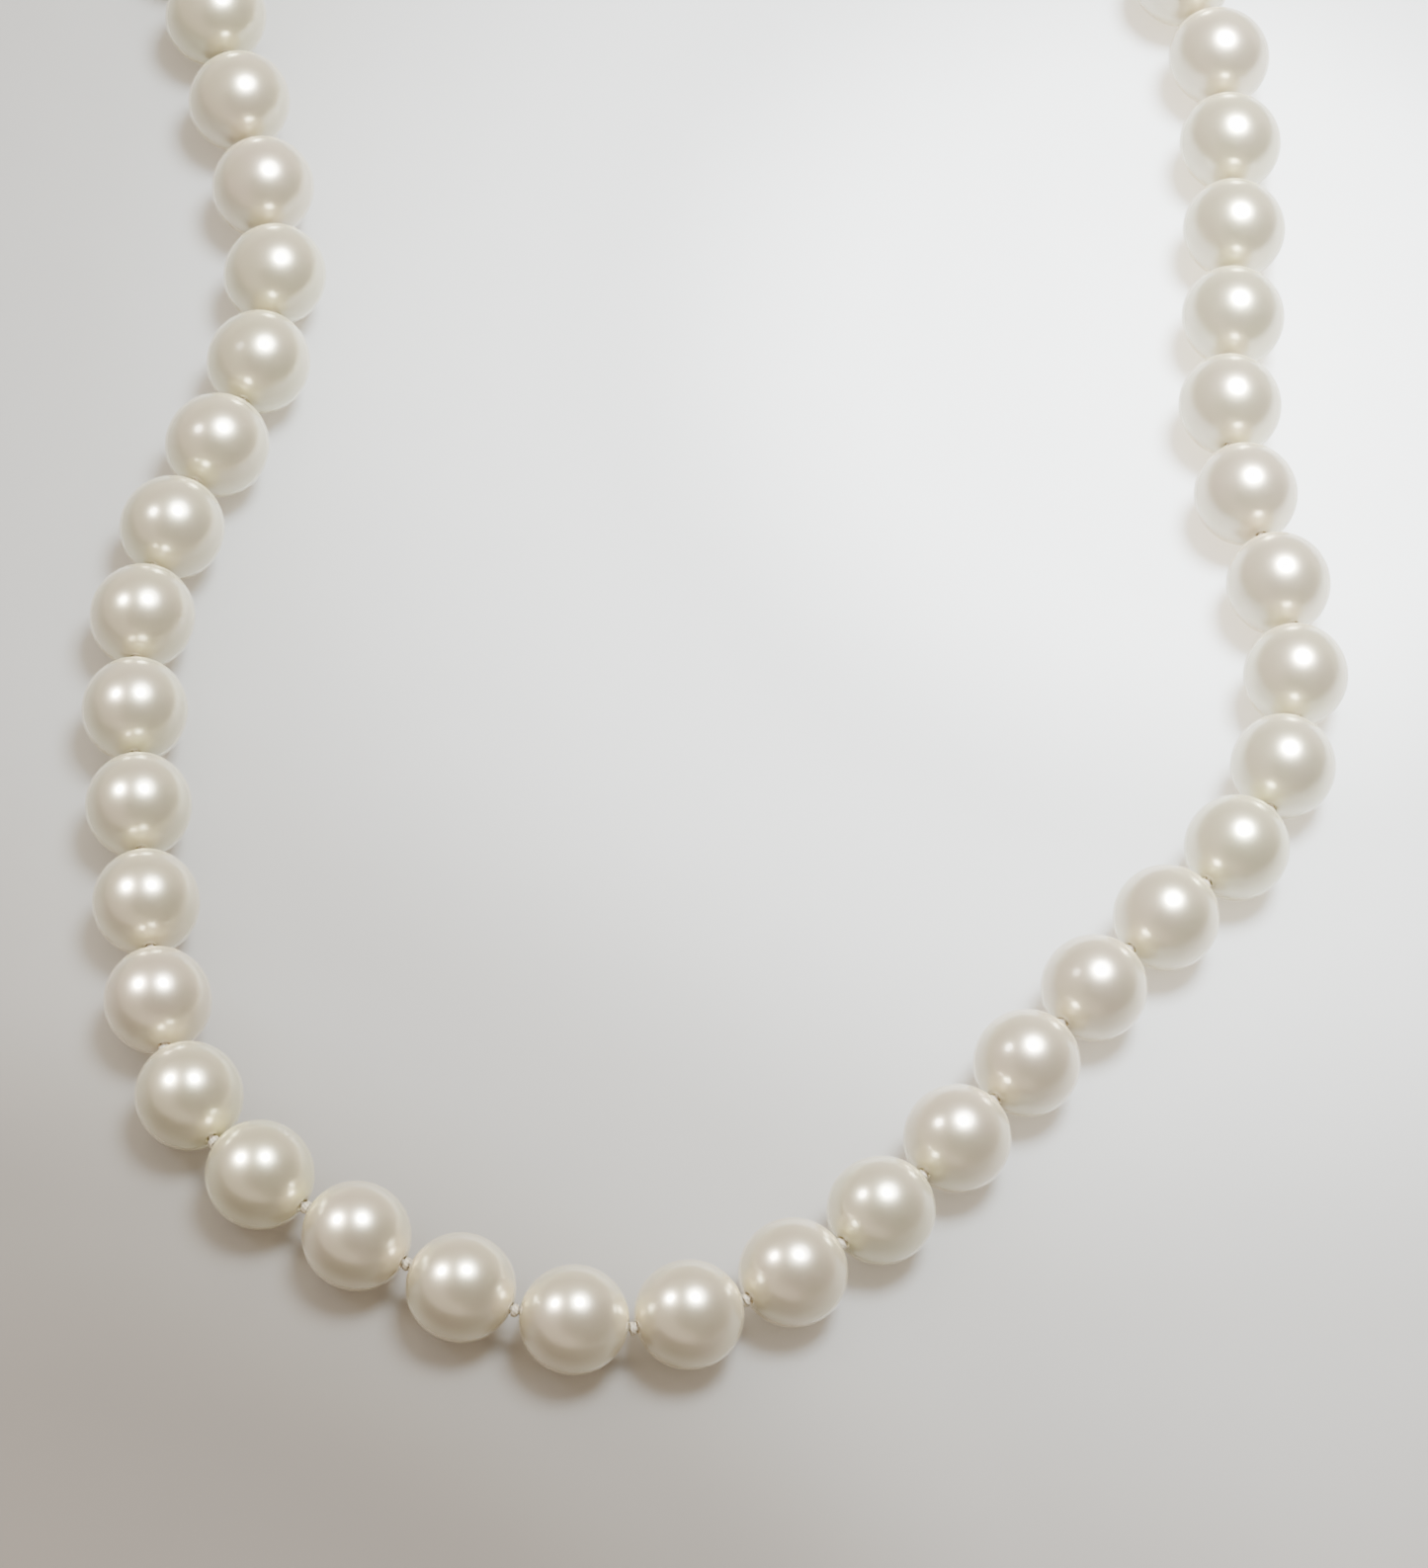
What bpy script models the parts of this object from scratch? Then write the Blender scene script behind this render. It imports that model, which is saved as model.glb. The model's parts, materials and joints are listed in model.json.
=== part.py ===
"""Pearl necklace: 45 round drilled pearls on one knotted silk thread, with a lobster clasp.

The necklace lies open on a level surface at Z = 0, unfastened, in a U whose front is towards -Y.
Every pearl is held between two knots, and the strand bends only at the knots, so each pearl is a
straight link from knot to knot. The links form two chains that start at the front pearl: the left
chain ends in the clasp and the right chain in the ring that the clasp hooks into. A link's object
has its origin on the knot that it bends about, and its own +X runs outwards along the strand.

Metres, +Z up. The origin is the centre of the bottom of the bounding box.
"""

import math

import bmesh
import bpy
import numpy as np
from mathutils import Matrix, Vector

MM = 0.001

# Pearls, thread and knots
PEARL_DIAMETER = 8.0 * MM
DRILL_DIAMETER = 0.9 * MM
THREAD_DIAMETER = 0.5 * MM
KNOT_DIAMETER = 1.1 * MM
KNOT_GAP = 0.6 * MM
PEARLS_PER_SIDE = 22

PEARL_RADIUS = PEARL_DIAMETER / 2
DRILL_RADIUS = DRILL_DIAMETER / 2
LINK = PEARL_DIAMETER + KNOT_GAP
STRAND_HEIGHT = PEARL_RADIUS
THREAD_END = 0.35 * MM
KNOT_SHAPE = (
    (0.0, KNOT_DIAMETER / 2),
    (0.16 * MM, KNOT_DIAMETER / 2.4),
    (0.28 * MM, THREAD_DIAMETER / 2),
)
PEARL_SIDES = 12
PEARL_BAND_ANGLE = math.radians(78)
THREAD_SIDES = 6

# The line that the strand lies along, in millimetres, from its left end round the front to its
# right end. The front pearl sits at point number FRONT_POINT.
LAY_MM = (
    (-56.5, 115.5),
    (-54.5, 84.0),
    (-47.0, 62.0),
    (-39.0, 38.0),
    (-44.0, 14.5),
    (-44.5, 3.0),
    (-38.0, -26.0),
    (-31.0, -38.5),
    (-4.0, -48.5),
    (14.5, -38.0),
    (33.0, -8.0),
    (41.0, 3.5),
    (42.5, 20.0),
    (35.0, 39.5),
    (34.5, 52.5),
    (31.0, 78.0),
    (29.5, 81.0),
    (21.0, 95.0),
    (24.5, 118.0),
)
FRONT_POINT = 8
LAY_STEPS = 24

# Wire work: the gimp loop at each end of the thread and the two rings linked through them
WIRE_SIDES = 6
GIMP_RADIUS = 0.35 * MM
GIMP_DROOP = math.radians(20)
GIMP_HALF_MM = ((0.15, 0.40), (0.70, 0.46), (1.30, 0.95), (2.00, 1.15), (2.65, 0.85), (2.95, 0.0))
GIMP_TIP = GIMP_HALF_MM[-1][0] * MM
GIMP_HOLE = 1.90 * MM
RING_WIRE_RADIUS = 0.4 * MM
RING_CUT = math.radians(2)
RING_SEGMENTS = 18
JUMP_RING_RADIUS = 2.1 * MM
CATCH_RING_RADIUS = 2.3 * MM

# Lobster clasp, in its own frame: origin at the middle of its eye, +X towards its nose. Angles
# are in degrees round the curve that they belong to.
CLASP_THICKNESS = 3.0 * MM
EYE_RADIUS = 1.8 * MM
EYE_HOLE_RADIUS = 1.0 * MM
EYE_THICKNESS = 1.0 * MM
EYE_HEIGHT = 1.8 * MM
NECK_WIDTH = 1.8 * MM
NECK_END = 2.2 * MM
CLAW_CENTRE = Vector((7.0, 0.0)) * MM
CLAW_RADII = Vector((5.2, 3.4)) * MM
OPENING_CENTRE = Vector((8.0, 0.2)) * MM
OPENING_RADII = Vector((2.6, 1.7)) * MM
CLAW_BACK_ANGLE = -205
OPENING_BACK_ANGLE = 202
PIVOT = Vector((4.4, 0.7)) * MM
BARREL_RADIUS = 1.5 * MM
BARREL_GAP = 0.2 * MM
BARREL_ANGLES = (145, -20)
LEVER_REACH = 5.95 * MM
LEVER_TIP_GAP = 0.15 * MM
LEVER_THICKNESS = 2.6 * MM
LEVER_BACK_ANGLE = 138
LEVER_BARREL_ANGLES = (112, 40)
LEVER_OPENING_ANGLE = 140
TONGUE_RADIUS = 1.1 * MM
TONGUE_ANGLES = (130, 310)
TONGUE_ROOT_MM = ((6.3, 1.6), (5.6, 2.6))
TONGUE_THICKNESS = 0.9 * MM
SLOT_THICKNESS = 1.1 * MM
SLOT_LOW = Vector((2.4, -0.8)) * MM
SLOT_HIGH = Vector((6.6, 4.0)) * MM
RIVET_RADIUS = 0.45 * MM
RIVET_HOLE_RADIUS = 0.5 * MM
RIVET_LENGTH = 2.8 * MM
LEVER_HOLE_RADIUS = 0.55 * MM
ROUND_SIDES = 12
HALVINGS = 40
NUB_CENTRE = Vector((5.9, 3.75)) * MM
NUB_RADII = Vector((1.0, 0.75)) * MM
SPRING_HALF_THICKNESS = 0.08 * MM
SPRING_HEIGHT = 0.8 * MM
SPRING_POINTS_MM = ((2.75, 1.3), (2.65, 0.6), (2.7, -0.1), (3.0, -0.5))


def material(name, colour, roughness, metallic):
    """A plain Principled material."""
    made = bpy.data.materials.new(name)
    made.use_nodes = True
    shader = made.node_tree.nodes["Principled BSDF"]
    shader.inputs["Base Color"].default_value = (*colour, 1.0)
    shader.inputs["Roughness"].default_value = roughness
    shader.inputs["Metallic"].default_value = metallic
    return made


def clear_scene():
    """Remove whatever the file opened with."""
    for thing in list(bpy.data.objects):
        bpy.data.objects.remove(thing, do_unlink=True)


def mesh_from(name, points, faces):
    """A closed mesh with its faces turned outwards and its round sides shaded smooth."""
    mesh = bpy.data.meshes.new(name)
    mesh.from_pydata([tuple(p) for p in points], [], faces)
    work = bmesh.new()
    work.from_mesh(mesh)
    bmesh.ops.recalc_face_normals(work, faces=work.faces)
    work.to_mesh(mesh)
    work.free()
    mesh.shade_smooth()
    mesh.set_sharp_from_angle(angle=math.radians(40))
    return mesh


def place(name, mesh, finish, parent=None, location=(0, 0, 0), turn=0.0):
    """Put a mesh in the scene as one named part, turned about its own Z."""
    part = bpy.data.objects.new(name, mesh)
    bpy.context.collection.objects.link(part)
    mesh.materials.clear()
    mesh.materials.append(finish)
    part.parent = parent
    part.location = location
    part.rotation_euler = (0, 0, turn)
    return part


def ring_faces(rings, sides, closed):
    """Faces between rings of points. An open run gets a cap at each end."""
    faces = []
    for i in range(rings if closed else rings - 1):
        here = i * sides
        there = (i + 1) % rings * sides
        for j in range(sides):
            k = (j + 1) % sides
            faces.append((here + j, here + k, there + k, there + j))
    if not closed:
        last = (rings - 1) * sides
        faces.append(tuple(range(sides)))
        faces.append(tuple(last + j for j in range(sides)))
    return faces


def turned_mesh(name, outline, sides):
    """Turn a closed outline of (x, radius) pairs about X. Its facets touch the true round surface,
    and one of them faces straight down."""
    reach = 1 / math.cos(math.pi / sides)
    points = []
    for x, radius in outline:
        for j in range(sides):
            angle = (j + 0.5) * math.tau / sides
            points.append((x, radius * reach * math.sin(angle), radius * reach * math.cos(angle)))
    return mesh_from(name, points, ring_faces(len(outline), sides, True))


def tube_mesh(name, path, radii, normal, sides, closed=False):
    """A tube along a path that lies in one plane, with the radius given at each point."""
    path = [Vector(p) for p in path]
    normal = Vector(normal).normalized()
    count = len(path)
    points = []
    for i, centre in enumerate(path):
        before = path[i - 1] if i or closed else centre
        after = path[(i + 1) % count] if i < count - 1 or closed else centre
        side = (after - before).normalized().cross(normal)
        for j in range(sides):
            angle = (j + 0.5) * math.tau / sides
            offset = side * math.cos(angle) + normal * math.sin(angle)
            points.append(centre + offset * radii[i])
    return mesh_from(name, points, ring_faces(count, sides, closed))


def slab_mesh(name, outline, low, high):
    """A flat outline in X and Y raised into a slab between two heights."""
    count = len(outline)
    points = [(x, y, low) for x, y in outline] + [(x, y, high) for x, y in outline]
    return mesh_from(name, points, ring_faces(2, count, False))


def arc(centre, radii, start, end, count):
    """Points along an ellipse from one angle to another, in degrees."""
    angles = np.radians(np.linspace(start, end, count))
    return [(centre[0] + radii[0] * math.cos(a), centre[1] + radii[1] * math.sin(a)) for a in angles]


def oval(centre, radii):
    """A closed ellipse of points."""
    return arc(centre, radii, 0, 360, ROUND_SIDES + 1)[:-1]


def disc(centre, radius):
    """A closed circle of points."""
    return oval(centre, (radius, radius))


def rectangle(low, high):
    """The four corners of an upright rectangle, from its lowest and highest corners."""
    return [(low[0], low[1]), (high[0], low[1]), (high[0], high[1]), (low[0], high[1])]


def combine(part, other, operation):
    """Join another mesh to a part, or cut it away, and keep the result on the part."""
    tool = bpy.data.objects.new(other.name, other)
    bpy.context.collection.objects.link(tool)
    step = part.modifiers.new(operation.title(), "BOOLEAN")
    step.operation = operation
    step.solver = "EXACT"
    step.object = tool
    depsgraph = bpy.context.evaluated_depsgraph_get()
    result = bpy.data.meshes.new_from_object(part.evaluated_get(depsgraph))
    part.modifiers.clear()
    result.name = part.data.name
    part.data = result
    bpy.data.objects.remove(tool, do_unlink=True)


def lay_line():
    """A smooth line through the lay points, in metres, with LAY_STEPS steps to each span."""
    points = np.array(LAY_MM) * MM
    ends = np.vstack([2 * points[0] - points[1], points, 2 * points[-1] - points[-2]])
    t = np.linspace(0, 1, LAY_STEPS, endpoint=False)[:, None]
    spans = []
    for a, b, c, d in zip(ends, ends[1:], ends[2:], ends[3:]):
        cubic = (3 * b - a - 3 * c + d) * t**3
        square = (2 * a - 5 * b + 4 * c - d) * t**2
        spans.append((2 * b + (c - a) * t + square + cubic) / 2)
    return np.vstack(spans + [points[-1:]])


def walk(line, start, step, count):
    """Points one step apart along a line, each a straight step from the one before."""
    found = []
    here = start
    i = 0
    for _ in range(count):
        while i + 2 < len(line) and np.linalg.norm(line[i + 1] - here) < step:
            i += 1
        along = line[i + 1] - line[i]
        along = along / np.linalg.norm(along)
        offset = line[i] - here
        ahead = -offset @ along
        aside = offset @ offset - ahead**2
        here = line[i] + along * (ahead + math.sqrt(step**2 - aside))
        found.append(here)
    return found


def lay_knots():
    """Knot positions of the left and right chains, in order from the front pearl outwards."""
    line = lay_line()
    front = FRONT_POINT * LAY_STEPS
    rightwards = line[front:]
    leftwards = line[front::-1]
    right = walk(rightwards, line[front], LINK / 2, 1)[0]
    left = walk(leftwards, line[front], LINK / 2, 1)[0]
    middle = (left + right) / 2
    along = (right - left) / np.linalg.norm(right - left)
    right = middle + along * LINK / 2
    left = middle - along * LINK / 2
    left_chain = [left] + walk(leftwards, left, LINK, PEARLS_PER_SIDE)
    right_chain = [right] + walk(rightwards, right, LINK, PEARLS_PER_SIDE)
    return left_chain, right_chain


def pearl_outline():
    """Section of a drilled pearl about its centre, from one drill rim over the crown to the other.
    Its widest band is level, so that the pearl rests on a facet."""
    rim = math.asin(DRILL_RADIUS / PEARL_RADIUS)
    angles = np.linspace(rim, PEARL_BAND_ANGLE, 4)
    half = [(PEARL_RADIUS * math.cos(a), PEARL_RADIUS * math.sin(a)) for a in angles]
    half[-1] = (half[-1][0], PEARL_RADIUS)
    return half + [(-x, radius) for x, radius in reversed(half)]


def add_front_pearl(frame, knots, finish):
    """The pearl that both chains start from, with its origin at its own centre."""
    left, right = knots
    along = right[0] - left[0]
    middle = (left[0] + right[0]) / 2
    mesh = turned_mesh("pearl_front", pearl_outline(), PEARL_SIDES)
    location = (middle[0], middle[1], STRAND_HEIGHT)
    return place("pearl_front", mesh, finish, frame, location, math.atan2(along[1], along[0]))


def add_chain(side, knots, front, first_heading, finish):
    """One side's pearls, each hung from the one before at the knot between them."""
    outline = [(x + LINK / 2, radius) for x, radius in pearl_outline()]
    mesh = turned_mesh("pearl_" + side, outline, PEARL_SIDES)
    parent = front
    start = (math.copysign(LINK / 2, math.cos(first_heading)), 0, 0)
    heading = front.rotation_euler.z
    for i in range(PEARLS_PER_SIDE):
        along = knots[i + 1] - knots[i]
        new_heading = math.atan2(along[1], along[0])
        turn = new_heading - heading
        parent = place(f"pearl_{side}_{i + 1:02d}", mesh, finish, parent, start, turn)
        start = (LINK, 0, 0)
        heading = new_heading
    return parent


def add_thread(frame, left, right, finish):
    """One silk thread through every pearl, with a knot wherever two pearls meet. Its ends stop at the
    outer rims of the end pearls, where they pass into the gimp."""
    knots = np.array(left[::-1] + right)
    plain = ((THREAD_END, THREAD_DIAMETER / 2),)
    last = len(knots) - 2
    path = []
    radii = []
    for i, (here, there) in enumerate(zip(knots, knots[1:])):
        along = (there - here) / LINK
        for distance, radius in KNOT_SHAPE if i else plain:
            path.append((*(here + along * distance), STRAND_HEIGHT))
            radii.append(radius)
        for distance, radius in KNOT_SHAPE[:0:-1] if i < last else plain:
            path.append((*(there - along * distance), STRAND_HEIGHT))
            radii.append(radius)
    mesh = tube_mesh("silk_thread", path, radii, (0, 0, 1), THREAD_SIDES)
    return place("silk_thread", mesh, finish, frame)


def droop(distance, across):
    """A point of the gimp loop, by its distance out from the pearl and across the strand."""
    x = LINK / 2 + PEARL_RADIUS + distance
    return (x, across, -distance * math.tan(GIMP_DROOP))


def add_gimp(side, last_pearl, finish):
    """The coiled-wire loop that guards the thread where it turns round the end ring."""
    half = [(x * MM, y * MM) for x, y in GIMP_HALF_MM]
    outline = half + [(x, -y) for x, y in half[-2::-1]]
    path = [droop(x, y) for x, y in outline]
    normal = (math.sin(GIMP_DROOP), 0, math.cos(GIMP_DROOP))
    mesh = tube_mesh("gimp_" + side, path, [GIMP_RADIUS] * len(path), normal, WIRE_SIDES)
    return place("gimp_" + side, mesh, finish, last_pearl)


def ring_centre(radius):
    """Where a standing ring's centre is from the last knot, when it rests on the surface and
    passes through the middle of the gimp loop."""
    height = radius + RING_WIRE_RADIUS - STRAND_HEIGHT
    hole = Vector(droop(GIMP_HOLE, 0))
    rise = hole.z - height
    return Vector((hole.x + math.sqrt(radius**2 - rise**2), 0, height))


def add_ring(name, radius, last_pearl, finish):
    """A bent wire ring that stands in the strand's upright plane. Its origin is on the tip of the
    gimp loop, which it swings about."""
    tip = Vector(droop(GIMP_TIP, 0))
    centre = ring_centre(radius) - tip
    angles = np.linspace(math.pi / 2 + RING_CUT, math.pi * 5 / 2 - RING_CUT, RING_SEGMENTS + 1)
    path = [centre + Vector((math.cos(a), 0, math.sin(a))) * radius for a in angles]
    mesh = tube_mesh(name, path, [RING_WIRE_RADIUS] * len(path), (0, 1, 0), WIRE_SIDES)
    return place(name, mesh, finish, last_pearl, tip)


def eye_place():
    """The clasp's eye, from the last knot: where the jump ring's far side is at the eye's height."""
    centre = ring_centre(JUMP_RING_RADIUS)
    drop = EYE_HEIGHT - STRAND_HEIGHT - centre.z
    return Vector((centre.x + math.sqrt(JUMP_RING_RADIUS**2 - drop**2), 0, -STRAND_HEIGHT))


def crossing(radius, centre, radii, start, end):
    """The angle, in degrees, at which an ellipse comes within a distance of the lever's pivot."""
    for _ in range(HALVINGS):
        middle = (start + end) / 2
        point = Vector(arc(centre, radii, middle, middle, 1)[0])
        if (point - PIVOT).length < radius:
            end = middle
        else:
            start = middle
    return (start + end) / 2


def claw_outline():
    """The hook seen from above: round the outside from the nose, over the hinge barrel and back
    round the opening."""
    nose = LEVER_REACH + LEVER_TIP_GAP
    outer_start = crossing(nose, CLAW_CENTRE, CLAW_RADII, 0, 90)
    inner_end = crossing(nose, OPENING_CENTRE, OPENING_RADII, 0, 60)
    outer = arc(CLAW_CENTRE, CLAW_RADII, outer_start, CLAW_BACK_ANGLE, 20)
    barrel = arc(PIVOT, (BARREL_RADIUS, BARREL_RADIUS), *BARREL_ANGLES, 9)
    inner = arc(OPENING_CENTRE, OPENING_RADII, OPENING_BACK_ANGLE, 360 + inner_end, 12)
    return outer + barrel + inner


def lever_outline():
    """The lever's arm seen from above: it closes the claw from the barrel to the nose."""
    outer_start = crossing(LEVER_REACH, CLAW_CENTRE, CLAW_RADII, 0, 90)
    inner_end = crossing(LEVER_REACH, OPENING_CENTRE, OPENING_RADII, 0, 60)
    clear = BARREL_RADIUS + BARREL_GAP
    outer = arc(CLAW_CENTRE, CLAW_RADII, outer_start, LEVER_BACK_ANGLE, 8)
    barrel = arc(PIVOT, (clear, clear), *LEVER_BARREL_ANGLES, 5)
    inner = arc(OPENING_CENTRE, OPENING_RADII, LEVER_OPENING_ANGLE, inner_end, 7)
    return outer + barrel + inner


def add_clasp_body(jump_ring, finish):
    """The hook with its eye, its slot for the lever's tongue and its rivet hole."""
    body = place("clasp_body", slab_mesh("clasp_body", claw_outline(), 0, CLASP_THICKNESS), finish)
    low = EYE_HEIGHT - EYE_THICKNESS / 2
    high = EYE_HEIGHT + EYE_THICKNESS / 2
    neck = rectangle((0, -NECK_WIDTH / 2), (NECK_END, NECK_WIDTH / 2))
    combine(body, slab_mesh("neck", neck, low, high), "UNION")
    combine(body, slab_mesh("eye", disc((0, 0), EYE_RADIUS), low, high), "UNION")

    through = (-CLASP_THICKNESS, 2 * CLASP_THICKNESS)
    combine(body, slab_mesh("eye_hole", disc((0, 0), EYE_HOLE_RADIUS), *through), "DIFFERENCE")
    combine(body, slab_mesh("rivet_hole", disc(PIVOT, RIVET_HOLE_RADIUS), *through), "DIFFERENCE")
    slot_low = (CLASP_THICKNESS - SLOT_THICKNESS) / 2
    slot = rectangle(SLOT_LOW, SLOT_HIGH)
    combine(body, slab_mesh("slot", slot, slot_low, slot_low + SLOT_THICKNESS), "DIFFERENCE")
    body.parent = jump_ring
    body.location = eye_place() - jump_ring.location
    return body


def add_clasp_lever(body, finish):
    """The sprung lever: arm, thumb nub and the tongue that the rivet holds. Its origin is on the
    rivet."""
    low = (CLASP_THICKNESS - LEVER_THICKNESS) / 2
    high = low + LEVER_THICKNESS
    lever = place("clasp_lever", slab_mesh("clasp_lever", lever_outline(), low, high), finish)
    combine(lever, slab_mesh("nub", oval(NUB_CENTRE, NUB_RADII), low, high), "UNION")

    tongue_low = (CLASP_THICKNESS - TONGUE_THICKNESS) / 2
    tongue = arc(PIVOT, (TONGUE_RADIUS, TONGUE_RADIUS), *TONGUE_ANGLES, 8)
    tongue += [(x * MM, y * MM) for x, y in TONGUE_ROOT_MM]
    tongue_mesh = slab_mesh("tongue", tongue, tongue_low, tongue_low + TONGUE_THICKNESS)
    combine(lever, tongue_mesh, "UNION")
    combine(lever, slab_mesh("lever_hole", disc(PIVOT, LEVER_HOLE_RADIUS), low, high), "DIFFERENCE")

    lever.data.transform(Matrix.Translation((-PIVOT.x, -PIVOT.y, 0)))
    lever.parent = body
    lever.location = (PIVOT.x, PIVOT.y, 0)
    return lever


def add_clasp_rivet(body, finish):
    """The pin that the lever turns on, through both cheeks of the slot."""
    low = (CLASP_THICKNESS - RIVET_LENGTH) / 2
    mesh = slab_mesh("clasp_rivet", disc((0, 0), RIVET_RADIUS), low, low + RIVET_LENGTH)
    return place("clasp_rivet", mesh, finish, body, (PIVOT.x, PIVOT.y, 0))


def add_clasp_spring(body, finish):
    """The bent leaf behind the tongue that pushes the lever shut."""
    spine = [Vector(p) * MM for p in SPRING_POINTS_MM]
    left = []
    right = []
    for i, point in enumerate(spine):
        along = (spine[min(i + 1, len(spine) - 1)] - spine[max(i - 1, 0)]).normalized()
        aside = Vector((-along.y, along.x)) * SPRING_HALF_THICKNESS
        left.append(tuple(point + aside))
        right.append(tuple(point - aside))
    low = (CLASP_THICKNESS - SPRING_HEIGHT) / 2
    mesh = slab_mesh("clasp_spring", left + right[::-1], low, low + SPRING_HEIGHT)
    return place("clasp_spring", mesh, finish, body)


def centre_on_origin(frame):
    """Slide the whole necklace so that its bounding box is centred over the origin."""
    bpy.context.view_layer.update()
    corners = []
    for part in bpy.data.objects:
        if part.type == "MESH":
            corners += [part.matrix_world @ v.co for v in part.data.vertices]
    corners = np.array(corners)
    middle = (corners.min(axis=0) + corners.max(axis=0)) / 2
    frame.location = (-middle[0], -middle[1], 0)
    bpy.context.view_layer.update()


def build():
    """Make the whole necklace."""
    clear_scene()
    nacre = material("nacre", (0.86, 0.82, 0.76), 0.22, 0.0)
    silk = material("silk", (0.90, 0.88, 0.83), 0.75, 0.0)
    silver = material("silver", (0.80, 0.80, 0.79), 0.18, 1.0)
    spring_steel = material("spring_steel", (0.55, 0.56, 0.57), 0.30, 1.0)

    frame = bpy.data.objects.new("necklace_frame", None)
    bpy.context.collection.objects.link(frame)
    knots = lay_knots()
    left, right = knots
    front = add_front_pearl(frame, knots, nacre)
    last_left = add_chain("left", left, front, math.pi, nacre)
    last_right = add_chain("right", right, front, 0.0, nacre)
    add_thread(frame, left, right, silk)

    add_gimp("left", last_left, silver)
    add_gimp("right", last_right, silver)
    jump_ring = add_ring("jump_ring", JUMP_RING_RADIUS, last_left, silver)
    add_ring("catch_ring", CATCH_RING_RADIUS, last_right, silver)
    clasp_body = add_clasp_body(jump_ring, silver)
    add_clasp_lever(clasp_body, silver)
    add_clasp_rivet(clasp_body, silver)
    add_clasp_spring(clasp_body, spring_steel)
    centre_on_origin(frame)


build()
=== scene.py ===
"""Looks of the pearl necklace: nacre, silk and silver on a pale table under soft room light."""

import json
import math

import bmesh
import bpy
import numpy as np
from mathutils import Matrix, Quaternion, Vector, noise


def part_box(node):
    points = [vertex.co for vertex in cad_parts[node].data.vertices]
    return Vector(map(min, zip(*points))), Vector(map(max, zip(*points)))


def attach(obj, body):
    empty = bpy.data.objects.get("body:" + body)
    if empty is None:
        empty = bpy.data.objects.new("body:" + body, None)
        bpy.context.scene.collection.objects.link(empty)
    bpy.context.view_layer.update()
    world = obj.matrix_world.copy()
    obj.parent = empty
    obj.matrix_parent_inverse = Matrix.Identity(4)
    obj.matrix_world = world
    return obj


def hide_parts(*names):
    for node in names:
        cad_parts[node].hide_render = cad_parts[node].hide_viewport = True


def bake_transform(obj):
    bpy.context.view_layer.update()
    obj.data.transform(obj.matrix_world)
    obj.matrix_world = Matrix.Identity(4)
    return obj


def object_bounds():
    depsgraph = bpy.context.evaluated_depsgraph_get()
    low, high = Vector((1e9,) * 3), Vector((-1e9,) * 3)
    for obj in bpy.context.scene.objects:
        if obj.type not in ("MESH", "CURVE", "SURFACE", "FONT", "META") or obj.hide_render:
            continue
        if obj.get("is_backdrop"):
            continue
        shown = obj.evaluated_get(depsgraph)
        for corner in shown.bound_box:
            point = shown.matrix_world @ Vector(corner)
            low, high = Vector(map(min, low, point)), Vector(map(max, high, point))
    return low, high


MM = 0.001
UP = Vector((0, 0, 1))
SIDES = ("left", "right")
PEARLS_PER_SIDE = 22

# Pearls: drilled spheres with a rounded rim at each hole, very slightly uneven
PEARL_RADIUS = 4.0 * MM
HOLE_RADIUS = 0.45 * MM
HOLE_DEPTH = 1.0 * MM
RIM_ROUNDING = 0.08 * MM
RIM_CORNER = (0.7, 0.3)
PEARL_RINGS = 40
PEARL_SIDES = 64
OUT_OF_ROUND = 0.020 * MM
LUMP_SIZE = 5.0 * MM

# Thread and knots: a core with the thread wound round it. The winding grows to its full radius
# over one part in KNOT_TAPER of its length, at both ends.
THREAD_RADIUS = 0.22 * MM
THREAD_SIDES = 10
THREAD_INSET = 0.8 * HOLE_DEPTH
KNOT_HALF_GAP = 0.3 * MM
KNOT_CORE_STEPS = 5
KNOT_WRAPS = 3.2
KNOT_WRAP_RADIUS = 0.37 * MM
KNOT_WRAP_LENGTH = 0.42 * MM
KNOT_WRAP_STEPS = 40
KNOT_TAPER = 6
KNOT_STRAND_RADIUS = 0.14 * MM
KNOT_STRAND_SIDES = 8

# Gimp loops: half of the loop's outline, outwards and sideways from the last pearl, and its wire
GIMP_DROOP = math.radians(20)
GIMP_HALF_MM = ((0.15, 0.40), (0.70, 0.46), (1.30, 0.95), (2.00, 1.15), (2.65, 0.85), (2.95, 0.0))
GIMP_LEG_ASIDE = 0.15 * MM
GIMP_SPAN_STEPS = 12
GIMP_CORE_RADIUS = 0.20 * MM
GIMP_CORE_SIDES = 8
GIMP_CORE_STEPS = 3
GIMP_COIL_RADIUS = 0.26 * MM
GIMP_WIRE_RADIUS = 0.085 * MM
GIMP_WIRE_SIDES = 6
GIMP_TURNS = 40
GIMP_STEPS_PER_TURN = 10

# Rings: bent from round wire, with a fine cut where their ends meet
RING_WIRE_RADIUS = 0.4 * MM
RING_RADIUS = {"jump_ring": 2.1 * MM, "catch_ring": 2.3 * MM}
RING_CUT = math.radians(1.2)
RING_STEPS = 72
RING_WIRE_SIDES = 16

# Clasp: its parts, the body that each rides on and how far its edges are rounded
CLASP_PARTS = (
    ("clasp_body", "clasp", 0.18 * MM),
    ("clasp_lever", "lever", 0.12 * MM),
    ("clasp_rivet", "clasp", 0.05 * MM),
)
ROUNDING_STEPS = 4
SAME_POINT = 0.001 * MM
FLAT_ANGLE = math.radians(1)
CORNER_ANGLE = math.radians(40)
SMOOTH_ANGLE = math.radians(27)

# Camera: the point it looks at, from the front pearl's centre, and how far, tilted and turned it is
VIEW_OFFSET = Vector((4.0, 48.03, 0)) * MM
VIEW_DISTANCE = 0.700
VIEW_TILT = math.radians(55.745)
VIEW_ROLL = math.radians(8.894)
LENS_MM = 214.4
SENSOR_MM = 36

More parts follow.
